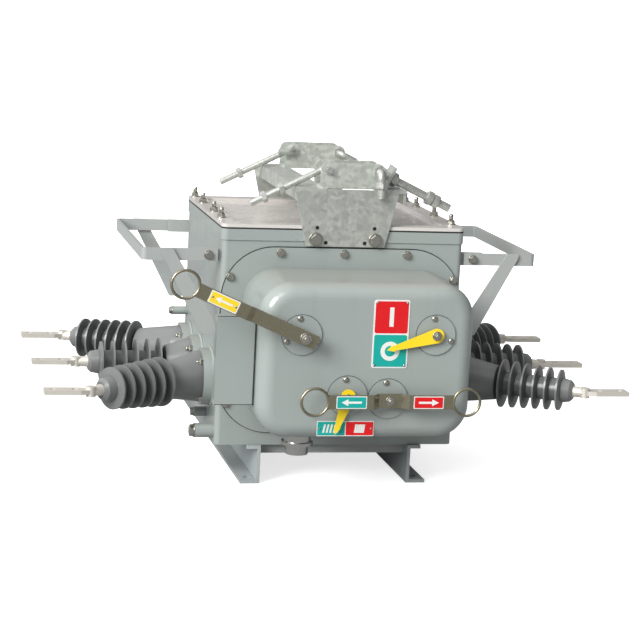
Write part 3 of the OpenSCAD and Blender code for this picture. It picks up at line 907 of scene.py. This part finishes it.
@dataclass
class Signboard:
    """Thin enamel panels with plain marks on a face that looks to the front."""

    name: str
    face_y: float
    body: str = ROOT
    base: float = 1.0
    skin: float = 0.3  # Thickness of the coloured panels on the white base.
    rivet: float = 1.9
    turn: Matrix = field(default_factory=lambda: Matrix.Identity(4))

    CORNER = 0.06
    CORNER_STEPS = 4
    INK = 0.25
    STROKE = 0.11  # Half a line's width, as a share of the mark's height.
    ARROW = (
        (-1.5, -0.16), (0.5, -0.16), (0.5, -0.5), (1.5, 0.0), (0.5, 0.5), (0.5, 0.16), (-1.5, 0.16),
    )
    PITCHES = {Glyph.SPRING_SLACK: 0.42, Glyph.SPRING_TIGHT: 0.24}
    COILS = range(-2, 3)
    ROUND_SIDES = 32

    def _at(self, place: Spot, lift: float) -> Matrix:
        """Finds a place on the board at a distance from the face."""
        return self.turn @ facing((place[0], self.face_y - lift, place[1]), Axis.FRONT)

    def panel(
        self, part: str, finish: Finish, place: Spot, size: Spot, raised: bool = True
    ) -> None:
        """Adds a panel.

        Args:
            part: Last part of its name.
            finish: Its finish.
            place: Its centre.
            size: Its width and height.
            raised: Whether it lies on the base. The base itself lies on the face.
        """
        shape = Shape()
        lift, thick = (self.base, self.skin) if raised else (0.0, self.base)
        outline = rounded(*size, min(size) * self.CORNER, self.CORNER_STEPS)
        shape.prism(outline, thick, self._at(place, lift))
        shape.build(f"{self.name}_{part}", finish, self.body)

    def back(self, place: Spot, size: Spot) -> None:
        """Adds the white base, given its centre and size."""
        self.panel("base", Finish.WHITE, place, size, False)

    def rivets(self, places: Iterable[Spot]) -> None:
        """Adds the rivets that hold it.

        Args:
            places: Place of each rivet.
        """
        shape = Shape()
        for place in places:
            screw(shape, self._at(place, self.base + self.skin), self.rivet)
        shape.build(f"{self.name}_rivets", Finish.BOLT, self.body)

    def mark(self, part: str, glyph: Glyph, place: Spot, high: float) -> None:
        """Adds a white mark on a panel.

        Args:
            part: Last part of its name.
            glyph: Which mark.
            place: Its centre.
            high: Its height.
        """
        shape = Shape()
        at = self._at(place, self.base + self.skin)
        half, line = high / 2, high * self.STROKE
        if glyph is Glyph.CLOSED:
            shape.prism(box(-line, line, -half, half), self.INK, at)
        elif glyph is Glyph.OPEN:
            inner, outer = (circle(r, self.ROUND_SIDES) for r in (half - 2 * line, half))
            shape.band(inner, outer, self.INK, at, True)
        elif glyph in self.PITCHES:
            pitch = high * self.PITCHES[glyph]
            lean = pitch / 4
            for i in self.COILS:
                foot, head = pitch * i - lean, pitch * i + lean
                left, right = (foot - line, -half), (foot + line, -half)
                coil = [left, right, (head + line, half), (head - line, half)]
                shape.prism(coil, self.INK, at)
        else:
            flip = -1 if glyph is Glyph.ARROW_LEFT else 1
            arrow = [(flip * high * x, high * z) for x, z in self.ARROW]
            shape.prism(arrow[::flip], self.INK, at)
        shape.build(f"{self.name}_{part}", Finish.WHITE, self.body)


@dataclass
class Cover(Dress):
    """The mechanism cover with its plates, screws, painted shadow lines and signs."""

    PIECES = {
        Finish.PAINT: ("mechanism_cover", "pivot_plates", "side_plate"),
        Finish.CHROME: ("cable_gland",),
    }

    face_y: float = -382.5
    plate_y: float = -385.5
    flange_y: float = -204.5
    wall_y: float = -200.5
    centre_z: float = 265.0
    pivots: Tuple[Spot, ...] = ((-110.0, 310.0), (129.0, 312.0), (-24.0, 203.0), (48.5, 198.0))
    plate_screws: Tuple[float, ...] = (99.0, 203.0, 340.0)  # In degrees.
    plate_ring: float = 29.5
    screw_r: float = 5.2
    plate_shadow_ring: Spot = (34.8, 35.9)  # Inner and outer radius.
    flange: Point = (443.0, 340.0, 95.0)  # Width, height and corner radius.
    flange_bolt: Bolt = Bolt(7.5)
    flange_bolts: Tuple[Spot, ...] = (  # Above the centre, and mirrored below it.
        (0.0, 160.6), (-117.0, 160.6), (117.0, 160.6), (-207.5, 116.0), (207.5, 116.0),
    )
    flange_gasket_and_shadow: Spot = (-0.2, 1.8)  # Start and end, outwards from the edge.
    side_plate: Four = (-252.5, -182.5, 178.5, 335.5)  # Left, right, lower and upper edge.
    side_plate_y: float = -348.0
    side_shadow_strips: Spot = (3.0, 1.0)  # Width of the upright one and of the level ones.
    shadow_thick: float = 0.3
    wall_line_thick: float = 0.4
    shadow_sides: int = 64
    sign: Four = (48.0, 313.0, 64.0, 121.0)  # Centre and size.
    sign_trim: Spot = (5.0, 4.0)  # What a field lacks of the width and of half the height.
    sign_shift: float = 0.6
    sign_mark: float = 34.0
    sign_rivet: float = 2.2
    strip: Four = (-24.5, 144.5, 102.0, 27.0)  # Centre and size.
    strip_trim: Spot = (2.0, 3.0)  # What a field lacks of half the width and of the height.
    strip_mark: float = 15.0
    rivet_in: float = 5.0

    def build(self) -> None:
        """Adds screws, painted shadow lines and signs."""
        self._screws()
        self._shadow_lines()
        self._position_sign()
        self._charge_sign()

    def _screws(self) -> None:
        """Adds the flange's bolts, each turned its own way, and the pivot plates' screws."""
        screws = Shape()
        for side in reversed(SIDES):
            for x, z in self.flange_bolts:
                place = (x, self.flange_y, self.centre_z + side * z)
                self.flange_bolt.add(screws, facing(place, Axis.FRONT, x))
        for x, z in self.pivots:
            for turn in map(math.radians, self.plate_screws):
                across, up = self.plate_ring * math.cos(turn), self.plate_ring * math.sin(turn)
                screw(screws, facing((x + across, self.plate_y, z + up), Axis.FRONT), self.screw_r)
        screws.build("cover_screws", Finish.BOLT)

    def _shadow_lines(self) -> None:
        """Adds painted shadow lines round the pivot plates and the side plate, and a gasket and
        shadow line round the flange.
        """
        shadow_lines = Shape()
        # Painted shadow: a dark ring round each pivot plate, for the gap at its edge.
        inner, outer = (circle(radius, self.shadow_sides) for radius in self.plate_shadow_ring)
        for x, z in self.pivots:
            shadow_lines.band(inner, outer, self.shadow_thick, facing((x, self.face_y, z), Axis.FRONT), True)
        # Round the flange a black line, partly its gasket and partly painted shadow of the gap.
        wide, high, corner = self.flange
        inner, outer = (
            rounded(wide + 2 * grow, high + 2 * grow, corner + grow) for grow in self.flange_gasket_and_shadow
        )
        at = facing((0.0, self.wall_y, self.centre_z), Axis.FRONT)
        shadow_lines.band(inner, outer, self.wall_line_thick, at)
        # Painted shadow: dark strips along the side plate's right, lower and upper edges, for the
        # gaps there.
        left, right, low, high = self.side_plate
        upright, level = self.side_shadow_strips
        inside = right - upright
        at = facing((0.0, self.side_plate_y, 0.0), Axis.FRONT)
        for outline in (
            box(inside, right, low, high),
            box(left, inside, low, low + level),
            box(left, inside, high - level, high),
        ):
            shadow_lines.prism(outline, self.shadow_thick, at)
        shadow_lines.build("cover_shadow_lines", Finish.RUBBER)

    def _position_sign(self) -> None:
        """Adds the sign for closed above open, with a rivet in each corner."""
        x, z, wide, high = self.sign
        board = Signboard("position_sign", self.face_y, rivet=self.sign_rivet)
        board.back((x, z), (wide, high))
        size = (wide - self.sign_trim[0], high / 2 - self.sign_trim[1])
        quarter = high / 4
        board.panel("closed", Finish.RED, (x, z + quarter - self.sign_shift), size)
        board.panel("open", Finish.TEAL, (x, z - quarter + self.sign_shift), size)
        board.mark("closed_mark", Glyph.CLOSED, (x, z + quarter), self.sign_mark)
        board.mark("open_mark", Glyph.OPEN, (x, z - quarter), self.sign_mark)
        in_x, in_z = wide / 2 - self.rivet_in, high / 2 - self.rivet_in
        board.rivets((x + i * in_x, z + j * in_z) for i in SIDES for j in SIDES)

    def _charge_sign(self) -> None:
        """Adds the sign for a slack spring beside a tight one, with a rivet at each end."""
        x, z, wide, high = self.strip
        board = Signboard("charge_sign", self.face_y)
        board.back((x, z), (wide, high))
        size = (wide / 2 - self.strip_trim[0], high - self.strip_trim[1])
        slack, tight = (x - wide / 4, z), (x + wide / 4, z)
        board.panel("slack", Finish.TEAL, slack, size)
        board.panel("tight", Finish.RED, tight, size)
        board.mark("slack_mark", Glyph.SPRING_SLACK, slack, self.strip_mark)
        board.mark("tight_mark", Glyph.SPRING_TIGHT, tight, self.strip_mark)
        board.rivets((x + i * (wide / 2 - self.rivet_in), z) for i in SIDES)


@dataclass
class Levers(Dress):
    """The two hand levers and the two pointers, with their bolts and labels."""

    PIECES = {
        Finish.STEEL: ("charging_lever", "trip_lever"),
        Finish.YELLOW: ("position_pointer", "charge_pointer"),
    }

    charging: Point = (-110.0, -417.5, 310.0)  # Front of each shaft's hub.
    trip: Point = (48.5, -402.5, 198.0)
    position: Point = (129.0, -393.0, 312.0)
    charge: Point = (-24.0, -393.0, 203.0)
    rise: float = 23.5  # Of the charging lever, in degrees.
    charging_arm_y: float = -425.5
    trip_arm_y: float = -414.5
    threads: Four = (10.0, 8.0, 8.0, 5.0)  # Charging, trip, position and charge shaft.
    shaft_head: float = 0.7  # In thread diameters.
    shaft_stud: float = 1.5
    shaft_turn: float = 12.0
    label: Spot = (54.0, 22.0)
    label_thick: Spot = (0.4, 0.2)  # Base and coloured face.
    charging_face: Spot = (50.0, 18.5)
    charging_away: float = -159.0  # Along the lever, from its shaft.
    charging_arrow: float = 11.0
    rivet_x: float = 22.0
    trip_face: Spot = (51.0, 19.0)
    open_away: float = -71.5
    close_away: float = 66.5
    trip_arrow: float = 12.0

    def build(self) -> None:
        """Adds shaft bolts and labels."""
        bodies = ("charging_lever", "trip_lever", "position_pointer", "charge_pointer")
        places = (self.charging, self.trip, self.position, self.charge)
        for body, place, thread in zip(bodies, places, self.threads):
            shape = Shape()
            at = facing(place, Axis.FRONT, self.shaft_turn)
            Bolt(thread, self.shaft_head, self.shaft_stud).add(shape, at)
            shape.build(f"{body}_bolt", Finish.BOLT, body)
        self._charging_label()
        x, _, z = self.trip
        for name, finish, away, glyph in (
            ("trip_label_open", Finish.TEAL, self.open_away, Glyph.ARROW_LEFT),
            ("trip_label_close", Finish.RED, self.close_away, Glyph.ARROW_RIGHT),
        ):
            board = Signboard(name, self.trip_arm_y, "trip_lever", *self.label_thick)
            board.back((x + away, z), self.label)
            board.panel("face", finish, (x + away, z), self.trip_face)
            board.mark("arrow", glyph, (x + away, z), self.trip_arrow)

    def _charging_label(self) -> None:
        """Adds the label of the charging lever, drawn level and turned along with the lever."""
        x, _, z = self.charging
        shaft = Vector((x, 0.0, z))
        risen = Matrix.Rotation(math.radians(self.rise), 4, "Y")
        turn = Matrix.Translation(shaft) @ risen @ Matrix.Translation(-shaft)
        board = Signboard(
            "charging_label", self.charging_arm_y, "charging_lever", *self.label_thick, turn=turn
        )
        x += self.charging_away
        board.back((x, z), self.label)
        board.panel("face", Finish.LABEL_YELLOW, (x, z), self.charging_face)
        board.mark("arrow", Glyph.ARROW_LEFT, (x, z), self.charging_arrow)
        board.rivets((x + side * self.rivet_x, z) for side in SIDES)


ROWS = [f"{side}_{row}" for side in ("left", "right") for row in ("front", "middle", "back")]


@dataclass
class Bushings(Dress):
    """The six bushings with the bolts and welds of their seats."""

    PIECES = {
        Finish.SILICONE: [f"{row}_bushing" for row in ROWS],
        Finish.TIN: [f"{row}_terminal" for row in ROWS],
        Finish.PAINT: ("left_bushing_seats", "right_bushing_seats"),
    }

    face_x: float = 243.0
    pitch: float = 128.0
    z: float = 183.0
    bolt: Bolt = Bolt(8.0, head=0.8, stud=6.0, washer=False)
    ring_r: float = 46.0
    angles: Tuple[float, ...] = (45.0, 135.0, 225.0, 315.0)
    wall_x: float = 223.0
    weld: Tuple[Spot, ...] = ((56.0, 0.0), (55.2, 1.6), (53.8, 2.9), (51.9, 3.6))  # Rings.
    weld_sides: int = 64

    def build(self) -> None:
        """Adds the seat bolts and the welds round the seats."""
        bolts, welds = Shape(), Shape()
        for side, way in zip(SIDES, (Axis.LEFT, Axis.RIGHT)):
            for row in (-1, 0, 1):
                y = row * self.pitch
                at = facing((side * self.wall_x, y, self.z), way)
                welds.stack(self.weld, self.weld_sides, at, True)
                for angle in self.angles:
                    turn = math.radians(angle)
                    along, up = self.ring_r * math.cos(turn), self.ring_r * math.sin(turn)
                    place = (side * self.face_x, y + along, self.z + up)
                    self.bolt.add(bolts, facing(place, way, angle))
        bolts.build("seat_bolts", Finish.BOLT)
        welds.build("seat_welds", Finish.PAINT)


@dataclass(frozen=True)
class Leg:
    """The leg of a hook bolt."""

    body: str
    side: int  # -1 left, 1 right.
    end: int  # -1 front, 1 back.
    nuts: Tuple[float, ...]  # Distances from the hole.
    thread: float = 12.0
    droop: float = 26.43
    washer: Optional[float] = None  # Distance of a square washer from the hole.


LEGS: Tuple[Leg, ...] = (
    Leg("front_left_hook_bolt", -1, -1, (84.0, 119.0)),
    Leg("front_right_hook_bolt", 1, -1, (36.0, 112.0, 125.0), 15.0, 25.03, 27.0),
    Leg("back_left_hook_bolt", -1, 1, (104.0,)),
    Leg("back_right_hook_bolt", 1, 1, (71.0, 104.0)),
)


@dataclass
class HangingFrame(Dress):
    """The galvanised frame with its bolts, washers and nuts."""

    PIECES = {
        Finish.ZINC_ROD: [leg.body for leg in LEGS],
        Finish.ZINC: (
            "front_hanger_plate", "back_hanger_plate", "left_hanger_rail", "right_hanger_rail"
        ),
        Finish.ZINC_CHANNEL: ("front_channel", "back_channel"),
    }

    plate_y: float = 207.5
    plate_bolt: Bolt = Bolt(12.0, head=0.6)
    plate_bolts: Tuple[Spot, ...] = ((-55.0, 452.0), (55.0, 452.0))
    plate_turn: float = 9.0
    spare_holes: Tuple[Spot, ...] = ((-53.0, 473.0), (53.0, 473.0), (-36.0, 446.0), (36.0, 446.0))
    hole: Spot = (3.5, 0.15)  # Radius and height of the dark disc of painted shade that shows it.
    hole_sides: int = 20
    hook: Point = (46.0, 162.5, 575.5)  # From the frame's middle, and height.
    frame_set: float = 12.0
    nut: Spot = (1.55, 0.75)  # Width across flats and height, in thread diameters.
    nut_turn: float = 13.0
    washer_half: float = 21.5
    washer_thick: float = 5.0
    washer_turn: float = 4.0
    end_y: float = -217.5
    end_nut: Spot = (20.0, 11.0)  # Width across flats and height.
    end_from: Spot = (1.3, -18.0)  # Across and up from the hole.

    def build(self) -> None:
        """Adds plate bolts, painted shade for the spare holes, washers and nuts."""
        bolts, hole_shades = Shape(), Shape()
        for end, way in zip(SIDES, (Axis.FRONT, Axis.BACK)):
            for x, z in self.plate_bolts:
                at = facing((x, end * self.plate_y, z), way, self.plate_turn)
                self.plate_bolt.add(bolts, at)
        # Painted shade: a dark disc on the plate stands for the inside of each spare hole.
        radius, height = self.hole
        for x, z in self.spare_holes:
            at = facing((x, -self.plate_y, z), Axis.FRONT)
            hole_shades.prism(circle(radius, self.hole_sides), height, at)
        bolts.build("hanger_bolts", Finish.BOLT)
        hole_shades.build("hanger_hole_shades", Finish.DARK)
        for leg in LEGS:
            self._nuts(leg)

    def _nuts(self, leg: Leg) -> None:
        """Adds the nuts and the washer of one hook bolt.

        Args:
            leg: The leg that they sit on.
        """
        across, along, up = self.hook
        hole = Vector((self.frame_set + leg.side * across, leg.end * along, up))
        droop = math.radians(leg.droop)
        aim = Vector((leg.side * math.cos(droop), 0.0, -math.sin(droop)))
        flats, high = (share * leg.thread for share in self.nut)
        shape = Shape()
        for i, far in enumerate(leg.nuts):
            hexagon(shape, facing(tuple(hole + aim * far), aim, self.nut_turn * i), flats, high)
        if leg.washer is not None:
            half = self.washer_half
            at = facing(tuple(hole + aim * leg.washer), aim, self.washer_turn)
            shape.prism(box(-half, half, -half, half), self.washer_thick, at)
            end = (hole.x + self.end_from[0], self.end_y, hole.z + self.end_from[1])
            hexagon(shape, facing(end, Axis.DOWN), *self.end_nut)
        shape.build(f"{leg.body}_nuts", Finish.ZINC_ROD, leg.body)


# Studio


@dataclass
class Studio:
    """The floor, the lights, the world and the camera."""

    eye: Point = (-862.369, -3824.409, 965.376)
    yaw: float = 0.2237
    pitch: float = 0.17632  # Angles are in radians.
    roll: float = -0.05074
    lens: float = 116.9986
    sensor: float = 36.0
    clip: Spot = (0.1, 400.0)  # In metres, as are the floor and the lamp.
    floor_half: float = 60.0
    floor_tone: Colour = srgb(252, 252, 252)
    floor_glow: float = 0.72
    floor_dull: Colour = srgb(160, 161, 161)  # What lights the object from below.
    sky: float = 0.8  # From the upper left.
    shade: float = 0.1  # From the lower right.
    fall: Spot = (0.8, 0.6)  # To the right, and down.
    fall_span: Spot = (-0.7, 0.6)
    mirror_span: Spot = (-0.8, 0.3)  # For what gloss reflects.
    key_from: Point = (-1.2, -0.95, 0.8)
    key_spread: float = 30.0
    key_power: float = 3.2
    key_tone: Colour = (1.0, 0.99, 0.97)
    box_at: Point = (-1.3, -2.1, 2.6)
    box_aim: Point = (0.0, 0.0, 0.3)
    box_size: float = 0.9
    box_power: float = 8.0

    def build(self) -> None:
        """Sets up everything round the object."""
        self._floor()
        self._world()
        self._lights()
        self._camera()
        bpy.context.scene.view_settings.view_transform = "Standard"

    def _floor(self) -> None:
        """Lays a pale floor that shows white to the camera and bounces less light than it shows."""
        half = self.floor_half
        corners = [(x, y, 0.0) for x, y in box(-half, half, -half, half)]
        mesh = bpy.data.meshes.new("floor")
        mesh.from_pydata(corners, [], [range(len(corners))])
        floor = bpy.data.objects.new("floor", mesh)
        bpy.context.scene.collection.objects.link(floor)
        made = Shader("pale_floor")
        made.set(
            Base_Color=self.floor_tone,
            Roughness=0.9,
            Specular_IOR_Level=0.1,
            Emission_Color=EVEN,
            Emission_Strength=self.floor_glow,
        )
        dull = made.node("ShaderNodeBsdfDiffuse", sockets={"Color": self.floor_dull})
        made.show(made.blend(made.ray("Is Camera Ray"), dull, made.plain))
        mesh.materials.append(made.material)

    def _world(self) -> None:
        """Lights the scene from all round, less from the right, with white behind it."""
        world = bpy.data.worlds.new("studio")
        bpy.context.scene.world = world
        world.use_nodes = True
        tree = Tree(world.node_tree, "ShaderNodeOutputWorld")
        white, bright, dim = (
            tree.node("ShaderNodeBackground", sockets={"Color": (level, level, level)})
            for level in (1.0, self.sky, self.shade)
        )
        around = tree.node("ShaderNodeTexCoord", out="Generated")
        way = tree.split(around, "X") * self.fall[0] - tree.split(around, "Z") * self.fall[1]
        soft = tree.blend(way.step(*self.fall_span), bright, dim)
        mirror = tree.blend(way.step(*self.mirror_span), white, dim)
        light = tree.blend(tree.ray("Is Glossy Ray"), soft, mirror)
        tree.show(tree.blend(tree.ray("Is Camera Ray"), light, white))

    def _lights(self) -> None:
        """Hangs the main light and the soft lamp."""
        angle = math.radians(self.key_spread)
        key = {"angle": angle, "energy": self.key_power, "color": self.key_tone}
        lamp = {"shape": "SQUARE", "size": self.box_size, "energy": self.box_power}
        for name, kind, settings, at, aim in (
            ("key", "SUN", key, self.key_from, (0.0, 0.0, 0.0)),
            ("box", "AREA", lamp, self.box_at, self.box_aim),
        ):
            data = bpy.data.lights.new(name, kind)
            for setting, value in settings.items():
                setattr(data, setting, value)
            light = bpy.data.objects.new(name, data)
            light.location = at
            light.rotation_euler = (Vector(aim) - Vector(at)).to_track_quat("-Z", "Y").to_euler()
            bpy.context.scene.collection.objects.link(light)

    def _camera(self) -> None:
        """Sets the camera of the main picture."""
        level = math.cos(self.pitch)
        ahead = Vector(
            (math.sin(self.yaw) * level, math.cos(self.yaw) * level, -math.sin(self.pitch))
        )
        right = Vector((math.cos(self.yaw), -math.sin(self.yaw), 0.0))
        down = ahead.cross(right)
        side = math.cos(self.roll) * right + math.sin(self.roll) * down
        under = -math.sin(self.roll) * right + math.cos(self.roll) * down
        data = bpy.data.cameras.new("main")
        data.sensor_width, data.lens = self.sensor, self.lens
        data.clip_start, data.clip_end = self.clip
        camera = bpy.data.objects.new("main", data)
        turned = Matrix((side, -under, -ahead)).transposed().to_4x4()
        camera.matrix_world = Matrix.Translation(Vector(self.eye) * MM) @ turned
        bpy.context.scene.collection.objects.link(camera)
        bpy.context.scene.camera = camera


def main() -> None:
    """Builds the looks of the whole object."""
    logging.basicConfig(level=logging.INFO, format="%(name)s: %(message)s")
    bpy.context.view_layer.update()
    for assembly in (Tank(), Cover(), Levers(), Bushings(), HangingFrame()):
        assembly.dress()
        assembly.build()
        LOG.info("built %s", type(assembly).__name__)
    Studio().build()


if __name__ == "__main__":
    main()
